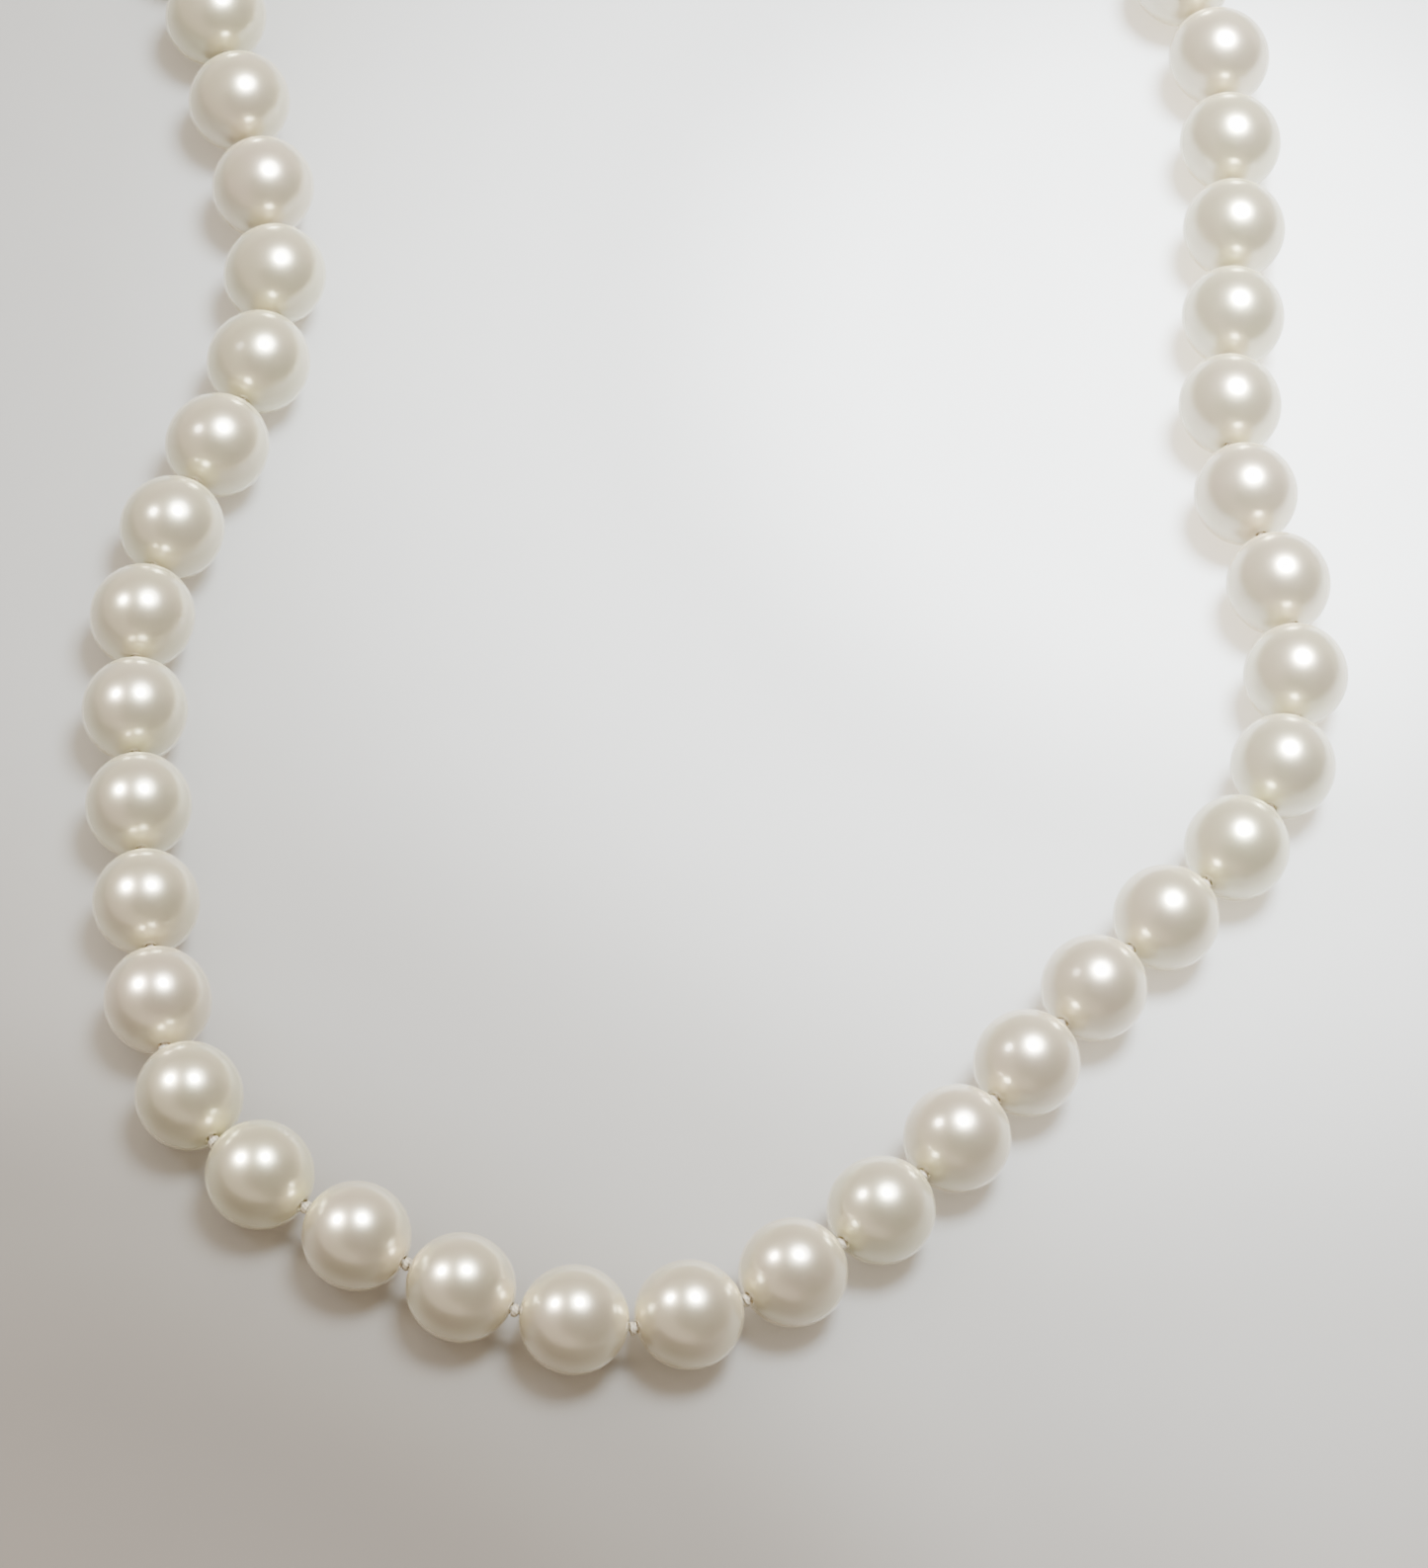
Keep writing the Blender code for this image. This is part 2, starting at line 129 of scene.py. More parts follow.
# Nacre: the pearls' own tones; painted shade where they face the viewer and painted light at their
# rim, for the bright table that they reflect and the light through the nacre; the overtone's cloudy
# patches, the surface's ripple and the light that passes through
NACRE_TONES = (
    (0.0, (0.820, 0.775, 0.590)),
    (0.35, (0.835, 0.765, 0.610)),
    (0.65, (0.805, 0.775, 0.570)),
    (1.0, (0.825, 0.785, 0.615)),
)
# Painted shade: the nacre's colour by how far it faces the viewer, darkest facing it and full at the
# rim
NACRE_PAINTED_FACING_SHADE = (
    (0.0, (0.50, 0.48, 0.46)),
    (0.30, (0.53, 0.51, 0.49)),
    (0.60, (0.72, 0.71, 0.69)),
    (0.85, (1.00, 1.00, 1.00)),
)
NACRE_PATCHES = ((0.35, (0.96, 0.98, 0.93)), (0.65, (1.0, 0.98, 0.99)))
PATCH_SIZE = 3.0 * MM
PATCH_STRENGTH = 0.8
RIPPLE_SIZE = 0.9 * MM
RIPPLE_HEIGHT = 0.1 * MM
LIGHT_PASSED = 0.54
PASSED_TINT = (1.0, 0.90, 0.78, 1.0)

# Silk: its tones and its twisted plies
SILK_TONES = ((0.0, (0.30, 0.265, 0.205)), (1.0, (0.42, 0.375, 0.30)))
PLIES_PER_METRE = 1.4 / MM
PLY_HEIGHT = 0.03 * MM

# Metal: colour and roughness of each kind, its wear, and painted reflections: how bright its colour
# is by the height in the room that it reflects
SILVER = ((0.86, 0.85, 0.82), 0.17)
SPRING_STEEL = ((0.55, 0.55, 0.55), 0.32)
TARNISH = 0.88
TARNISH_SIZE = 2.5 * MM
SCRATCH_SIZE = 0.12 * MM
SCRATCH_HEIGHT = 0.02 * MM
# Painted reflection: the metal's colour by the height, from -1 to 1, that each point reflects
PAINTED_REFLECTION_BANDS = (
    (0.0, (0.72, 0.72, 0.72)),
    (0.42, (0.55, 0.55, 0.56)),
    (0.50, (0.10, 0.10, 0.11)),
    (0.60, (0.16, 0.16, 0.17)),
    (0.70, (0.80, 0.80, 0.80)),
    (0.84, (0.95, 0.95, 0.95)),
    (0.93, (0.40, 0.40, 0.41)),
)

# Table: half its width, where a painted pool of light makes it lightest and where a soft painted
# shade lies, both from the point that the camera looks at, and its tones by the distance from each
# as a share of its fade
TABLE_HALF = 3.0
PAINTED_LIGHT_SPOT = Vector((32, 50, 0)) * MM
PAINTED_LIGHT_FADE = 0.300
# Painted pool of light: lightest at the spot, darker in a ring round it and paler again further out
TABLE_PAINTED_LIGHT = (
    (0.0, (0.88, 0.91, 0.94)),
    (0.08, (0.82, 0.85, 0.88)),
    (0.16, (0.55, 0.565, 0.58)),
    (0.30, (0.345, 0.345, 0.34)),
    (0.40, (0.32, 0.31, 0.295)),
    (0.50, (0.44, 0.43, 0.41)),
    (0.66, (0.69, 0.68, 0.66)),
    (1.0, (0.66, 0.70, 0.75)),
)
# Painted shade: a soft warm darker patch round this spot
SHADE_SPOT = Vector((-35, -95, 0)) * MM
SHADE_FADE = 0.100
SHADE_TONES = (
    (0.35, (0.53, 0.49, 0.44)),
    (0.52, (0.63, 0.60, 0.56)),
    (0.75, (0.90, 0.89, 0.88)),
    (1.0, (1.0, 1.0, 1.0)),
)
GRAIN_SIZE = 6.0 * MM
GRAIN_TONES = ((0.3, (0.985, 0.985, 0.985)), (0.7, (1, 1, 1)))

# Lamps: a soft window that lights the table, and three lamps that show only as highlights. A lamp's
# target is in millimetres from the point that the camera looks at, and "towards" is the way from
# the target to the lamp. Its light fades out at its reach round the target.
COOL = (0.95, 0.99, 1.0)
WARM = (1.0, 0.98, 0.95)
WINDOW = {
    "target": (36, 56, 0),
    "towards": (0.15, 0.16, 1.0),
    "distance": 1.1,
    "radius": 0.22,
    "reach": 0.20,
    "power": 55.0,
    "colour": COOL,
}
CEILING_LAMP = {
    "target": (0, 0, 0),
    "towards": (0.104, 0.100, 1.0),
    "distance": 1.2,
    "radius": 0.18,
    "reach": 0.6,
    "power": 82.0,
    "colour": COOL,
}
LEFT_LAMP = {
    "target": (-27, -38, 0),
    "towards": (-0.90, 0.08, 1.0),
    "distance": 1.2,
    "radius": 0.17,
    "reach": 0.075,
    "power": 84.0,
    "colour": WARM,
}
RIGHT_LAMP = {
    "target": (48, 70, 0),
    "towards": (0.125, 0.139, 1.0),
    "distance": 1.25,
    "radius": 0.40,
    "reach": 0.15,
    "power": 260.0,
    "colour": COOL,
}

# Room: the surround, the darker place where the viewer stands, the dim side and the backdrop
ROOM_LIGHT = (1.49, 1.28, 1.08)
VIEWER_LIGHT = (0.47, 0.39, 0.31)
VIEWER_EDGE = math.radians(41)
DIM_LIGHT = (0.34, 0.28, 0.22)
DIM_SIDEWAYS = Vector((0.77, 0, 0))
DIM_TO_CAMERA = 0.64
DIM_EDGE = math.radians(65)
DIM_CORE = math.radians(12)
BACKDROP = (1.6, 1.62, 1.65)


# ---------------------------------------------------------------- node helpers


def new_material(name):
    """An empty node material with a Principled shader, and its shader node."""
    made = bpy.data.materials.new(name)
    made.use_nodes = True
    return made, made.node_tree.nodes["Principled BSDF"]


def feed(tree, socket, value):
    """Give a node's input a value or another node's output."""
    if isinstance(value, bpy.types.NodeSocket):
        tree.links.new(value, socket)
    else:
        socket.default_value = value


def add_node(tree, kind, settings=None, **inputs):
    """A node with its settings and its inputs, each a value or another node's output."""
    made = tree.nodes.new(kind)
    for key, value in (settings or {}).items():
        setattr(made, key, value)
    for key, value in inputs.items():
        feed(tree, made.inputs[key.replace("_", " ")], value)
    return made


def math_node(tree, operation, a, b):
    """The result of an operation on two numbers, each a value or an output."""
    made = tree.nodes.new("ShaderNodeMath")
    made.operation = operation
    feed(tree, made.inputs[0], a)
    feed(tree, made.inputs[1], b)
    return made.outputs[0]


def vector_node(tree, operation, a, b):
    """A node that works on two vectors, each a value or an output."""
    made = tree.nodes.new("ShaderNodeVectorMath")
    made.operation = operation
    feed(tree, made.inputs[0], a)
    feed(tree, made.inputs[1], b)
    return made


def ramp(tree, factor, stops, easing="LINEAR"):
    """A colour ramp through (position, colour) stops."""
    made = tree.nodes.new("ShaderNodeValToRGB")
    made.color_ramp.interpolation = easing
    tree.links.new(factor, made.inputs[0])
    elements = made.color_ramp.elements
    while len(elements) < len(stops):
        elements.new(0.5)
    for element, (position, colour) in zip(elements, stops):
        element.position = position
        element.color = (*colour, 1)
    return made.outputs[0]


def mix(tree, blend, factor, a, b):
    """Two colours mixed, each a value or an output."""
    made = tree.nodes.new("ShaderNodeMix")
    made.data_type = "RGBA"
    made.blend_type = blend
    feed(tree, made.inputs[0], factor)
    for index, colour in ((6, a), (7, b)):
        constant = isinstance(colour, tuple)
        feed(tree, made.inputs[index], (*colour, 1) if constant else colour)
    return made.outputs[2]


def noise_node(tree, size, detail):
    """Cloudy noise whose lumps are about `size` metres across."""
    place = add_node(tree, "ShaderNodeNewGeometry").outputs["Position"]
    return add_node(tree, "ShaderNodeTexNoise", None, Vector=place, Scale=1 / size, Detail=detail)


def set_bump(tree, shader, height, strength, distance):
    """Roughen a shader's surface by a height output."""
    made = add_node(tree, "ShaderNodeBump", None, Height=height, Strength=strength, Distance=distance)
    tree.links.new(made.outputs[0], shader.inputs["Normal"])


# ------------------------------------------------------------------- materials


def let_light_through(tree, shader, share):
    """Let a share of the light pass, because a pearl is translucent and its shadow is pale."""
    path = add_node(tree, "ShaderNodeLightPath")
    passing = math_node(tree, "MULTIPLY", path.outputs["Is Shadow Ray"], share)
    clear = add_node(tree, "ShaderNodeBsdfTransparent", None, Color=PASSED_TINT)
    both = add_node(tree, "ShaderNodeMixShader", None, Fac=passing)
    tree.links.new(shader.outputs[0], both.inputs[1])
    tree.links.new(clear.outputs[0], both.inputs[2])
    tree.links.new(both.outputs[0], tree.nodes["Material Output"].inputs["Surface"])


def nacre_material():
    """Cream nacre: a satin body with painted shade where it faces the viewer and painted light at its
    edges, for camera rays only, and a pink and green overtone under a clear lustre."""
    made, shader = new_material("nacre_lustre")
    tree = made.node_tree
    who = add_node(tree, "ShaderNodeObjectInfo")
    own = ramp(tree, who.outputs["Random"], NACRE_TONES)
    # Painted shade and painted rim light: darker where the surface faces the viewer, full colour at
    # the rim, for camera rays only
    facing = add_node(tree, "ShaderNodeLayerWeight", None, Blend=0.5)
    painted_facing_shade = ramp(tree, facing.outputs["Facing"], NACRE_PAINTED_FACING_SHADE)
    clouds = noise_node(tree, PATCH_SIZE, detail=3.0)
    overtone = ramp(tree, clouds.outputs[0], NACRE_PATCHES)
    path = add_node(tree, "ShaderNodeLightPath")
    seen = mix(tree, "MIX", path.outputs["Is Camera Ray"], (1.0, 1.0, 1.0), painted_facing_shade)
    colour = mix(tree, "MULTIPLY", 1.0, own, seen)
    colour = mix(tree, "MULTIPLY", PATCH_STRENGTH, colour, overtone)
    tree.links.new(colour, shader.inputs["Base Color"])
    shader.inputs["Metallic"].default_value = 0.55
    shader.inputs["Roughness"].default_value = 0.27
    shader.inputs["IOR"].default_value = 1.55
    shader.inputs["Coat Weight"].default_value = 0.7
    shader.inputs["Coat Roughness"].default_value = 0.09
    shader.inputs["Coat IOR"].default_value = 1.7
    ripple = noise_node(tree, RIPPLE_SIZE, detail=2.0)
    set_bump(tree, shader, ripple.outputs[0], strength=0.05, distance=RIPPLE_HEIGHT)
    let_light_through(tree, shader, LIGHT_PASSED)
    return made


def silk_material():
    """Cream silk twisted from plies."""
    made, shader = new_material("silk_twist")
    tree = made.node_tree
    place = add_node(tree, "ShaderNodeNewGeometry")
    plies = add_node(
        tree,
        "ShaderNodeTexWave",
        {"bands_direction": "DIAGONAL"},
        Vector=place.outputs["Position"],
        Scale=PLIES_PER_METRE,
        Distortion=1.5,
    )
    colour = ramp(tree, plies.outputs[1], SILK_TONES)
    tree.links.new(colour, shader.inputs["Base Color"])
    shader.inputs["Roughness"].default_value = 0.6
    shader.inputs["Sheen Weight"].default_value = 0.1
    set_bump(tree, shader, plies.outputs[1], strength=0.5, distance=PLY_HEIGHT)
    return made


def metal_material(name, base, roughness):
    """Polished metal with faint wear: cloudy gloss, hairline scratches and the dark bands that a
    furnished room would put into it as reflections, painted into its colour."""
    made, shader = new_material(name)
    tree = made.node_tree
    clouds = noise_node(tree, TARNISH_SIZE, detail=4.0)
    darker = tuple(TARNISH * channel for channel in base)
    colour = ramp(tree, clouds.outputs[0], ((0.3, darker), (0.7, base)))
    # Painted reflection: the colour is darkened in bands by the height that the reflected ray points
    # to
    mirrored = add_node(tree, "ShaderNodeTexCoord").outputs["Reflection"]
    height = add_node(tree, "ShaderNodeSeparateXYZ", None, Vector=mirrored).outputs["Z"]
    band = add_node(tree, "ShaderNodeMapRange", None, Value=height, From_Min=-1.0, From_Max=1.0)
    room = ramp(tree, band.outputs[0], PAINTED_REFLECTION_BANDS, "EASE")
    colour = mix(tree, "MULTIPLY", 1.0, colour, room)
    tree.links.new(colour, shader.inputs["Base Color"])
    gloss = add_node(
        tree,
        "ShaderNodeMapRange",
        None,
        Value=clouds.outputs[0],
        To_Min=roughness * 0.7,
        To_Max=roughness * 1.4,
    )
    tree.links.new(gloss.outputs[0], shader.inputs["Roughness"])
    shader.inputs["Metallic"].default_value = 1.0
    scratches = noise_node(tree, SCRATCH_SIZE, detail=1.0)
    set_bump(tree, shader, scratches.outputs[0], strength=0.08, distance=SCRATCH_HEIGHT)
    return made


def distance_share(tree, spot, reach):
    """How far a surface point is from a spot, as a share of a reach."""
    place = add_node(tree, "ShaderNodeNewGeometry").outputs["Position"]
    away = vector_node(tree, "DISTANCE", place, spot).outputs["Value"]
    return math_node(tree, "DIVIDE", away, reach)


def table_material(middle):
    """A pale satin table top with painted light and shade: lightest and coolest in a painted pool of
    light at one spot, with a warm soft painted shade at another.
    """
    made, shader = new_material("pale_table")
    tree = made.node_tree
    # Painted light and shade: the colour is lightest round the pool's spot, darker in a ring, and
    # darkened in a soft warm patch round the shade's spot
    from_painted_light = distance_share(tree, middle + PAINTED_LIGHT_SPOT, PAINTED_LIGHT_FADE)
    from_shade = distance_share(tree, middle + SHADE_SPOT, SHADE_FADE)
    colour = ramp(tree, from_painted_light, TABLE_PAINTED_LIGHT, "EASE")
    shade = ramp(tree, from_shade, SHADE_TONES, "EASE")
    colour = mix(tree, "MULTIPLY", 1.0, colour, shade)
    grain = noise_node(tree, GRAIN_SIZE, detail=3.0)
    speckle = ramp(tree, grain.outputs[0], GRAIN_TONES)
    colour = mix(tree, "MULTIPLY", 1.0, colour, speckle)
    tree.links.new(colour, shader.inputs["Base Color"])
    shader.inputs["Roughness"].default_value = 0.65
    shader.inputs["Specular IOR Level"].default_value = 0.2
    return made


# --------------------------------------------------------------------- meshes


def mesh_object(name, points, faces, finish):
    """A smooth-shaded mesh object with one material, in metres."""
    mesh = bpy.data.meshes.new(name)
    mesh.from_pydata([tuple(p) for p in points], [], faces)
    mesh.shade_smooth()
    mesh.materials.append(finish)
    made = bpy.data.objects.new(name, mesh)
    bpy.context.collection.objects.link(made)
    return made


def ring_faces(rings, sides, first=0):
    """Faces between rings of points, with a cap on each end."""
    faces = []
    for i in range(rings - 1):
        here = first + i * sides
        there = here + sides
        for j in range(sides):
            k = (j + 1) % sides
            faces.append((here + j, there + j, there + k, here + k))
    last = first + (rings - 1) * sides
    faces.append(tuple(first + j for j in range(sides)))
    faces.append(tuple(last + j for j in reversed(range(sides))))
    return faces


def tube(path, radius, sides):
    """Points of a round tube along a path, carried along it without twisting."""
    path = [Vector(p) for p in path]
    count = len(path)
    points = []
    side = None
    for i, centre in enumerate(path):
        along = (path[min(i + 1, count - 1)] - path[max(i - 1, 0)]).normalized()
        if side is None:
            side = along.cross(UP if abs(along.z) < 0.9 else Vector((1, 0, 0)))
        side = (side - along * side.dot(along)).normalized()
        other = along.cross(side)
        for j in range(sides):
            angle = j * math.tau / sides
            points.append(centre + (side * math.cos(angle) + other * math.sin(angle)) * radius)
    return points


def join_tubes(name, runs, finish):
    """One object from several (path, radius, sides) tubes."""
    points = []
    faces = []
    for path, radius, sides in runs:
        faces += ring_faces(len(path), sides, len(points))
        points += tube(path, radius, sides)
    return mesh_object(name, points, faces, finish)


def smooth_path(points, steps):
    """A smooth path through points, with a number of steps to each span."""
    points = [Vector(p) for p in points]
    ends = [points[0] * 2 - points[1]] + points + [points[-1] * 2 - points[-2]]
    found = []
    for a, b, c, d in zip(ends, ends[1:], ends[2:], ends[3:]):
        for i in range(steps):
            t = i / steps
            cubic = (b * 3 - a - c * 3 + d) * t**3
            square = (a * 2 - b * 5 + c * 4 - d) * t**2
            found.append((b * 2 + (c - a) * t + square + cubic) / 2)
    return found + [points[-1]]


# ------------------------------------------------------------------- necklace


class Link:
    """One pearl's place: its centre, its direction outwards along the strand, and its CAD body."""

    def __init__(self, node, body, centre, along):
        self.node = node
        self.body = body
        self.centre = centre
        self.along = along
        self.across = UP.cross(along).normalized()

    def point(self, out, across=0.0, up=0.0):
        """A point by its distances from the pearl's centre: outwards, to the left and upwards."""
        return self.centre + self.along * out + self.across * across + UP * up


def box_centre(node):
    """The middle of a CAD node's box."""
    low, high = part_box(node)
    return (low + high) / 2


def find_links(frame):
    """The links of each side from the front pearl outwards, and the knot before each one."""
    knot_at = {j["child"]: Vector(j["pos_m"]) for j in frame["joints"]}
    links = {}
    knots = {}
    for side in SIDES:
        links[side] = []
        knots[side] = []
        for i in range(1, PEARLS_PER_SIDE + 1):
            node = f"pearl_{side}_{i:02d}"
            body = f"{side}_{i:02d}"
            centre = box_centre(node)
            knot = knot_at[body]
            links[side].append(Link(node, body, centre, (centre - knot).normalized()))
            knots[side].append(knot)
    along = (knots["right"][0] - knots["left"][0]).normalized()
    front = Link("pearl_front", "front", box_centre("pearl_front"), along)
    return front, links, knots


def pearl_section():
    """Section of a drilled pearl from the bottom of one hole, over its rounded rim, to the other."""
    rim = math.asin((HOLE_RADIUS + RIM_ROUNDING) / PEARL_RADIUS)
    shoulder = PEARL_RADIUS * math.cos(rim) - RIM_ROUNDING
    hole = [(PEARL_RADIUS - HOLE_DEPTH, HOLE_RADIUS), (shoulder, HOLE_RADIUS)]
    turn = (shoulder + RIM_ROUNDING * RIM_CORNER[0], HOLE_RADIUS + RIM_ROUNDING * RIM_CORNER[1])
    crown = np.linspace(rim, math.pi - rim, PEARL_RINGS)
    sphere = [(PEARL_RADIUS * math.cos(a), PEARL_RADIUS * math.sin(a)) for a in crown]
    start = hole + [turn]
    return start + sphere + [(-x, r) for x, r in reversed(start)]


def add_pearl(link, section, finish):
    """A fine round pearl, very slightly uneven, in place of its CAD solid."""
    points = []
    for out, radius in section:
        for j in range(PEARL_SIDES):
            angle = j * math.tau / PEARL_SIDES
            point = link.point(out, radius * math.cos(angle), radius * math.sin(angle))
            ray = point - link.centre
            swell = noise.noise(point / LUMP_SIZE) * OUT_OF_ROUND
            points.append(point + ray * (swell / PEARL_RADIUS))
    faces = ring_faces(len(section), PEARL_SIDES)
    pearl = mesh_object(link.node + "_nacre", points, faces, finish)
    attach(pearl, link.body)
    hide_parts(link.node)


def add_knot(name, knot, inner, outer, finish):
    """The thread between two pearls with its knot: a straight core with the thread wound round it."""
    reach = KNOT_HALF_GAP + THREAD_INSET
    core = [
        knot - inner.along * reach,
        knot - inner.along * KNOT_HALF_GAP,
        knot,
        knot + outer.along * KNOT_HALF_GAP,
        knot + outer.along * reach,
    ]
    along = (inner.along + outer.along).normalized()
    across = UP.cross(along).normalized()
    wrap = []
    for i in range(KNOT_WRAP_STEPS + 1):
        t = i / KNOT_WRAP_STEPS
        turn = t * KNOT_WRAPS * math.tau + knot.y / MM
        taper = min(1.0, KNOT_TAPER * t, KNOT_TAPER * (1 - t))
        lift = KNOT_WRAP_RADIUS * taper
        side = across * math.cos(turn) + UP * math.sin(turn)
        wrap.append(knot + along * (t - 0.5) * KNOT_WRAP_LENGTH + side * lift)
    runs = (
        (smooth_path(core, KNOT_CORE_STEPS), THREAD_RADIUS, THREAD_SIDES),
        (wrap, KNOT_STRAND_RADIUS, KNOT_STRAND_SIDES),
    )
    made = join_tubes(name, runs, finish)
    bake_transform(made)
    return made


def add_gimp(side, link, silk, silver):
    """The thread's end loop inside its guard of coiled wire."""

    def place(out, across):
        drop = -out * math.tan(GIMP_DROOP)
        return link.point(PEARL_RADIUS + out, across, drop)

    half = [(x * MM, y * MM) for x, y in GIMP_HALF_MM]
    outline = half + [(x, -y) for x, y in half[-2::-1]]
    loop = smooth_path([place(x, y) for x, y in outline], GIMP_SPAN_STEPS)
    leg_in = link.point(PEARL_RADIUS - THREAD_INSET, GIMP_LEG_ASIDE)
    leg_out = link.point(PEARL_RADIUS - THREAD_INSET, -GIMP_LEG_ASIDE)
    core = [leg_in] + loop[:: GIMP_SPAN_STEPS // 2] + [leg_out]
    core = smooth_path(core, GIMP_CORE_STEPS)
    runs = ((core, GIMP_CORE_RADIUS, GIMP_CORE_SIDES),)
    thread = join_tubes(f"thread_loop_{side}", runs, silk)
    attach(thread, link.body)

    normal = link.along * math.sin(GIMP_DROOP) + UP * math.cos(GIMP_DROOP)
    count = GIMP_TURNS * GIMP_STEPS_PER_TURN
    coil = []
    for i in range(count + 1):
        spot = i / count * (len(loop) - 1)
        at = min(int(spot), len(loop) - 2)
        centre = loop[at].lerp(loop[at + 1], spot - at)
        along = (loop[at + 1] - loop[at]).normalized()
        aside = along.cross(normal)
        turn = i * math.tau / GIMP_STEPS_PER_TURN
        coil.append(centre + (aside * math.cos(turn) + normal * math.sin(turn)) * GIMP_COIL_RADIUS)
    runs = ((coil, GIMP_WIRE_RADIUS, GIMP_WIRE_SIDES),)
    made = join_tubes(f"gimp_{side}_coil", runs, silver)
    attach(made, link.body)
    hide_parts(f"gimp_{side}")


def add_ring(name, link, finish):
    """A round wire ring standing in the strand's upright plane, cut at its top."""
    radius = RING_RADIUS[name]
    centre = box_centre(name)
    centre.z = radius + RING_WIRE_RADIUS
    path = []
    for i in range(RING_STEPS + 1):
        angle = math.pi / 2 + RING_CUT + i / RING_STEPS * (math.tau - 2 * RING_CUT)
        path.append(centre + (link.along * math.cos(angle) + UP * math.sin(angle)) * radius)
    made = join_tubes(name + "_wire", ((path, RING_WIRE_RADIUS, RING_WIRE_SIDES),), finish)
    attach(made, name)
    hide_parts(name)


def round_edges(part, width):
    """A fine mesh of a CAD part with its flat faces made whole and its corners rounded."""
    shape = bmesh.new()
    shape.from_mesh(part.data)
    bmesh.ops.remove_doubles(shape, verts=shape.verts, dist=SAME_POINT)
    bmesh.ops.dissolve_limit(shape, angle_limit=FLAT_ANGLE, verts=shape.verts, edges=shape.edges)
    corners = [edge for edge in shape.edges if edge.calc_face_angle(0) > CORNER_ANGLE]
    bmesh.ops.bevel(
        shape,
        geom=corners,
        offset=width,
        offset_type="OFFSET",
        segments=ROUNDING_STEPS,
        profile=0.5,
        affect="EDGES",
        clamp_overlap=False,
    )
    bmesh.ops.recalc_face_normals(shape, faces=shape.faces)
    mesh = bpy.data.meshes.new(part.name + "_polished")
    shape.to_mesh(mesh)
    shape.free()
    mesh.shade_smooth()
    mesh.set_sharp_from_angle(angle=SMOOTH_ANGLE)
    return mesh


def add_clasp(frame, silver, steel):
    """The clasp's parts in polished silver with softly rounded edges, and its steel spring."""
    for name, body, width in CLASP_PARTS:
        mesh = round_edges(frame["nodes"][name], width)
        mesh.materials.append(silver)
        made = bpy.data.objects.new(name + "_polished", mesh)
        bpy.context.collection.objects.link(made)
        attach(made, body)
        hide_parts(name)
    spring = frame["nodes"]["clasp_spring"]
    spring.data.materials.clear()
    spring.data.materials.append(steel)


# ------------------------------------------------------------------ the studio


def add_table(finish):
    """The table top that the necklace lies on."""
    corners = ((-1, -1), (1, -1), (1, 1), (-1, 1))
    points = [(x * TABLE_HALF, y * TABLE_HALF, 0) for x, y in corners]
    table = mesh_object("table_top", points, [(0, 1, 2, 3)], finish)
    table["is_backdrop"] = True


def aim(thing, direction):
    """Turn a lamp or camera so that it looks along a direction."""
    thing.rotation_mode = "QUATERNION"
    thing.rotation_quaternion = direction.to_track_quat("-Z", "Y")


def limit_pool(data, spot, reach):
    """Make a lamp's light fade out at a reach round a point of the table. The shader finds where
    each ray meets the table and dims it by the distance from that point."""
    data.use_nodes = True
    tree = data.node_tree
    place = add_node(tree, "ShaderNodeNewGeometry")
    ray = place.outputs["Incoming"]
    height = add_node(tree, "ShaderNodeSeparateXYZ", None, Vector=place.outputs["Position"])
    drop = add_node(tree, "ShaderNodeSeparateXYZ", None, Vector=ray)
    length = math_node(tree, "DIVIDE", height.outputs["Z"], drop.outputs["Z"])
    step = add_node(tree, "ShaderNodeVectorMath", {"operation": "SCALE"}, Scale=length)
    tree.links.new(ray, step.inputs[0])
    landing = vector_node(tree, "SUBTRACT", place.outputs["Position"], step.outputs[0])
    away = vector_node(tree, "DISTANCE", landing.outputs[0], spot)
    fade = add_node(
        tree,
        "ShaderNodeMapRange",
        {"interpolation_type": "SMOOTHSTEP"},
        Value=away.outputs["Value"],
        From_Min=0.0,
        From_Max=reach,
        To_Min=1.0,
        To_Max=0.0,
    )
    tree.links.new(fade.outputs[0], tree.nodes["Emission"].inputs["Strength"])


def add_lamp(name, lamp, middle, lights):
    """A round lamp that either lights surfaces or only shines as a highlight in them."""
    target = middle + Vector(lamp["target"]) * MM
    towards = Vector(lamp["towards"]).normalized()
    data = bpy.data.lights.new(name, "AREA")
    data.shape = "DISK"
    data.size = 2 * lamp["radius"]
    data.energy = lamp["power"]
    data.color = lamp["colour"]
    limit_pool(data, target, lamp["reach"])
    made = bpy.data.objects.new(name, data)
    bpy.context.collection.objects.link(made)
    made.location = target + towards * lamp["distance"]
    aim(made, -towards)
    made.visible_diffuse = lights
    made.visible_glossy = not lights


def add_lights(middle):
    """A soft window that lights the table, and three lamps seen only as highlights."""
    add_lamp("window", WINDOW, middle, True)
    add_lamp("ceiling_lamp", CEILING_LAMP, middle, False)
    add_lamp("left_lamp", LEFT_LAMP, middle, False)
    add_lamp("right_lamp", RIGHT_LAMP, middle, False)


def zone(tree, way, centre, edge, core):
    """How far a direction lies in a round zone of the room: 0 at its edge, 1 at its core."""
    facing = vector_node(tree, "DOT_PRODUCT", way, centre)
    return add_node(
        tree,
        "ShaderNodeMapRange",
        {"interpolation_type": "SMOOTHSTEP"},
        Value=facing.outputs["Value"],
        From_Min=math.cos(edge),
        From_Max=math.cos(core),
    ).outputs[0]


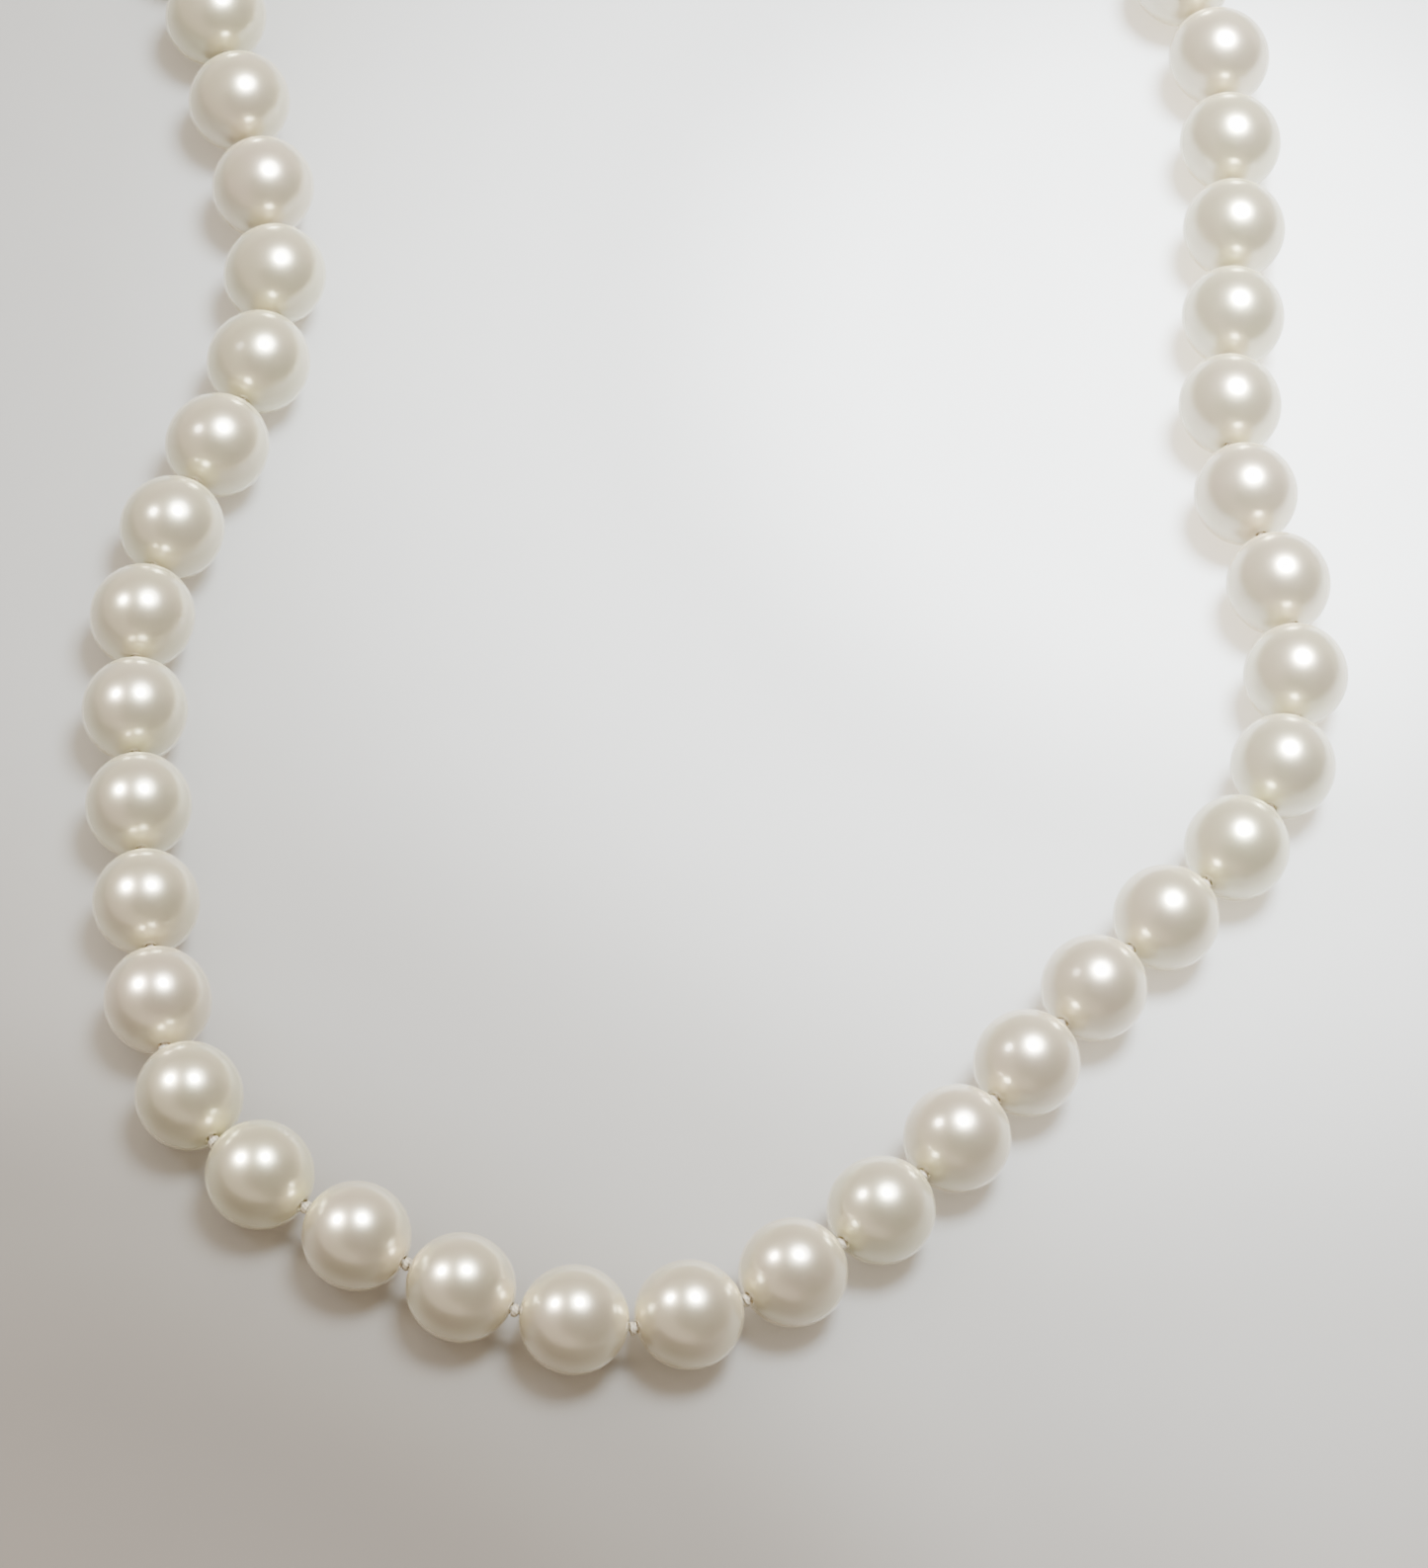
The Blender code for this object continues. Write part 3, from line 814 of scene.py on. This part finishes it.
def add_room(to_camera):
    """Room light: a warm surround that is darkest where the viewer stands, a dim side that only
    shows in reflections, and a pale backdrop that only the camera sees."""
    world = bpy.data.worlds.new("room")
    bpy.context.scene.world = world
    world.use_nodes = True
    tree = world.node_tree
    background = tree.nodes["Background"]
    way = add_node(tree, "ShaderNodeTexCoord").outputs["Generated"]
    path = add_node(tree, "ShaderNodeLightPath")
    viewer = zone(tree, way, to_camera, VIEWER_EDGE, 0.0)
    room = mix(tree, "MIX", viewer, ROOM_LIGHT, VIEWER_LIGHT)
    side = (to_camera * DIM_TO_CAMERA + DIM_SIDEWAYS).normalized()
    dim = zone(tree, way, side, DIM_EDGE, DIM_CORE)
    dim = math_node(tree, "MULTIPLY", dim, path.outputs["Is Glossy Ray"])
    room = mix(tree, "MIX", dim, room, DIM_LIGHT)
    colour = mix(tree, "MIX", path.outputs["Is Camera Ray"], room, BACKDROP)
    tree.links.new(colour, background.inputs["Color"])
    background.inputs["Strength"].default_value = 1.0


def add_camera(front):
    """The photo's viewpoint. Returns the direction from the necklace to the camera."""
    data = bpy.data.cameras.new("photo_view")
    data.lens = LENS_MM
    data.sensor_width = SENSOR_MM
    camera = bpy.data.objects.new("photo_view", data)
    bpy.context.collection.objects.link(camera)
    target = front.centre + VIEW_OFFSET
    back = Vector((0, -math.cos(VIEW_TILT), math.sin(VIEW_TILT)))
    camera.location = target + back * VIEW_DISTANCE
    aim(camera, -back)
    camera.rotation_quaternion @= Quaternion((0, 0, 1), VIEW_ROLL)
    bpy.context.scene.camera = camera
    return back


def build(frame, before):
    """Finish every piece of the frame and set up the studio."""
    nacre = nacre_material()
    silk = silk_material()
    silver = metal_material("polished_silver", *SILVER)
    steel = metal_material("spring_metal", *SPRING_STEEL)

    front, links, knots = find_links(frame)
    section = pearl_section()
    add_pearl(front, section, nacre)
    for side in SIDES:
        inner = front
        if side == "left":
            inner = Link("pearl_front", "front", front.centre, -front.along)
        for i, (link, knot) in enumerate(zip(links[side], knots[side])):
            add_pearl(link, section, nacre)
            add_knot(f"knot_{side}_{i + 1:02d}", knot, inner, link, silk)
            inner = link
        add_gimp(side, links[side][-1], silk, silver)
    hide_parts("silk_thread")
    add_ring("jump_ring", links["left"][-1], silver)
    add_ring("catch_ring", links["right"][-1], silver)
    add_clasp(frame, silver, steel)

    middle = front.centre + VIEW_OFFSET
    middle.z = 0
    add_table(table_material(middle))
    back = add_camera(front)
    add_room(back)
    add_lights(middle)


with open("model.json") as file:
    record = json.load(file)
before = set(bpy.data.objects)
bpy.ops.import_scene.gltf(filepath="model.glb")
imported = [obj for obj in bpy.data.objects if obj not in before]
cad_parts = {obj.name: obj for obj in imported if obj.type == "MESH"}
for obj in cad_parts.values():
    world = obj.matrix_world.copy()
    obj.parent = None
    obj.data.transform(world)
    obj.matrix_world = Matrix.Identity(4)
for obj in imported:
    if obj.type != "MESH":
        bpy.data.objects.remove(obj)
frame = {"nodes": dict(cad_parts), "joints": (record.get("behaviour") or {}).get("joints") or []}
build(frame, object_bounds())
